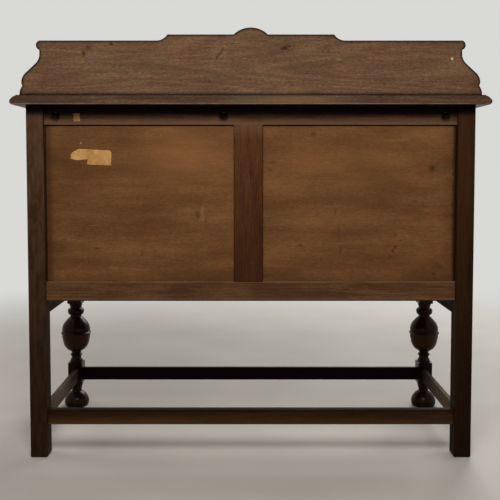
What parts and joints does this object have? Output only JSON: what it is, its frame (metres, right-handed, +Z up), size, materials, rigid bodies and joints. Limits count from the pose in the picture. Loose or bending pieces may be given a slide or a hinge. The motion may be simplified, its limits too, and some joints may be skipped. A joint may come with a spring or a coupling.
{
  "type": "sideboard",
  "caption": "Oak sideboard with turned cup and cover front legs, square rear legs, stretchers, a shaped upstand, drawers over panelled cupboard doors and a frame and panel back.",
  "frame": {"origin": "on the floor, in the middle of the top board's footprint", "axes": "+Z up, front faces -Y, +X to the right of someone who faces the front"},
  "size_m": [1.226, 0.51, 1.1154],
  "materials": {
    "oak_top": "brown stained oak with worn, dry polish",
    "case_oak": "dark stained oak, satin polish",
    "dark_oak": "very dark stained oak, polished on the turnings",
    "back_rail_oak": "brown stained, dry",
    "muntin_oak": "red brown stained, dry",
    "back_plywood": "orange brown plywood, thinly stained",
    "inner_softwood": "unpolished softwood",
    "drawer_lining": "clean planed hardwood",
    "brass": "aged, dull in the hollows",
    "steel": "dark, slightly rusted"
  },
  "bodies": {
    "carcass": {"back_bottom_rail": "back_rail_oak", "back_muntin": "muntin_oak", "back_panel_left": "back_plywood", "back_panel_right": "back_plywood", "back_top_rail": "back_rail_oak", "carcass_hinge_leaves": "brass", "catch_barrels": "brass", "centre_partition": "inner_softwood", "cupboard_floor": "inner_softwood", "drawer_runners_and_kickers": "inner_softwood", "front_bottom_rail": "case_oak", "front_leg_left": "dark_oak", "front_leg_right": "dark_oak", "front_middle_rail": "case_oak", "front_posts": "case_oak", "front_stretcher": "dark_oak", "front_top_rail": "case_oak", "rear_leg_left": "dark_oak", "rear_leg_right": "dark_oak", "rear_stretcher": "dark_oak", "shelf_bearers": "inner_softwood", "shelves": "inner_softwood", "side_panel_left": "case_oak", "side_panel_right": "case_oak", "side_rails_left": "case_oak", "side_rails_right": "case_oak", "side_stretcher_left": "dark_oak", "side_stretcher_right": "dark_oak", "top_board": "oak_top", "upstand": "oak_top", "upstand_moulding": "oak_top", "wood_screws": "steel"},
    "drawer_left": {"drawer_left_front": "case_oak", "drawer_left_box": "drawer_lining", "drawer_left_bottom": "drawer_lining", "drawer_left_moulding": "case_oak", "drawer_left_plate": "brass"},
    "door_left": {"door_left_stiles": "case_oak", "door_left_rails": "case_oak", "door_left_panel": "case_oak", "door_left_moulding": "case_oak", "door_left_hinge_leaves": "brass", "door_left_plate": "brass"},
    "drawer_left_drop": {"drawer_left_drop": "brass"},
    "door_left_drop": {"door_left_drop": "brass"},
    "catch_ball_left": {"catch_ball_left": "brass"},
    "drawer_right": {"drawer_right_front": "case_oak", "drawer_right_box": "drawer_lining", "drawer_right_bottom": "drawer_lining", "drawer_right_moulding": "case_oak", "drawer_right_plate": "brass"},
    "door_right": {"door_right_stiles": "case_oak", "door_right_rails": "case_oak", "door_right_panel": "case_oak", "door_right_moulding": "case_oak", "door_right_hinge_leaves": "brass", "door_right_plate": "brass"},
    "drawer_right_drop": {"drawer_right_drop": "brass"},
    "door_right_drop": {"door_right_drop": "brass"},
    "catch_ball_right": {"catch_ball_right": "brass"}
  },
  "joints": [
    {"name": "drawer_left_slide", "type": "slide", "parent": "carcass", "child": "drawer_left", "axis": [0, -1, 0], "range_m": [0, 0.3]},
    {"name": "door_left_hinge", "type": "hinge", "parent": "carcass", "child": "door_left", "pos_m": [-0.53325, -0.2265, 0.5865], "axis": [0, 0, -1], "range_deg": [0, 110]},
    {"name": "drawer_right_slide", "type": "slide", "parent": "carcass", "child": "drawer_right", "axis": [0, -1, 0], "range_m": [0, 0.3]},
    {"name": "door_right_hinge", "type": "hinge", "parent": "carcass", "child": "door_right", "pos_m": [0.53325, -0.2265, 0.5865], "axis": [0, 0, 1], "range_deg": [0, 110]},
    {"name": "drawer_left_drop_swing", "type": "hinge", "parent": "drawer_left", "child": "drawer_left_drop", "pos_m": [-0.2795, -0.235, 0.851], "axis": [-1, 0, 0], "range_deg": [0, 85]},
    {"name": "door_left_drop_swing", "type": "hinge", "parent": "door_left", "child": "door_left_drop", "pos_m": [-0.0565, -0.235, 0.6005], "axis": [-1, 0, 0], "range_deg": [0, 85]},
    {"name": "drawer_right_drop_swing", "type": "hinge", "parent": "drawer_right", "child": "drawer_right_drop", "pos_m": [0.2795, -0.235, 0.851], "axis": [-1, 0, 0], "range_deg": [0, 85]},
    {"name": "door_right_drop_swing", "type": "hinge", "parent": "door_right", "child": "door_right_drop", "pos_m": [0.0565, -0.235, 0.6005], "axis": [-1, 0, 0], "range_deg": [0, 85]},
    {"name": "catch_ball_left_press", "type": "slide", "parent": "carcass", "child": "catch_ball_left", "axis": [1, 0, 0], "range_m": [0, 0.001], "stiffness_N_per_m": 600, "springref_m": -0.002},
    {"name": "catch_ball_right_press", "type": "slide", "parent": "carcass", "child": "catch_ball_right", "axis": [-1, 0, 0], "range_m": [0, 0.001], "stiffness_N_per_m": 600, "springref_m": -0.002}
  ]
}
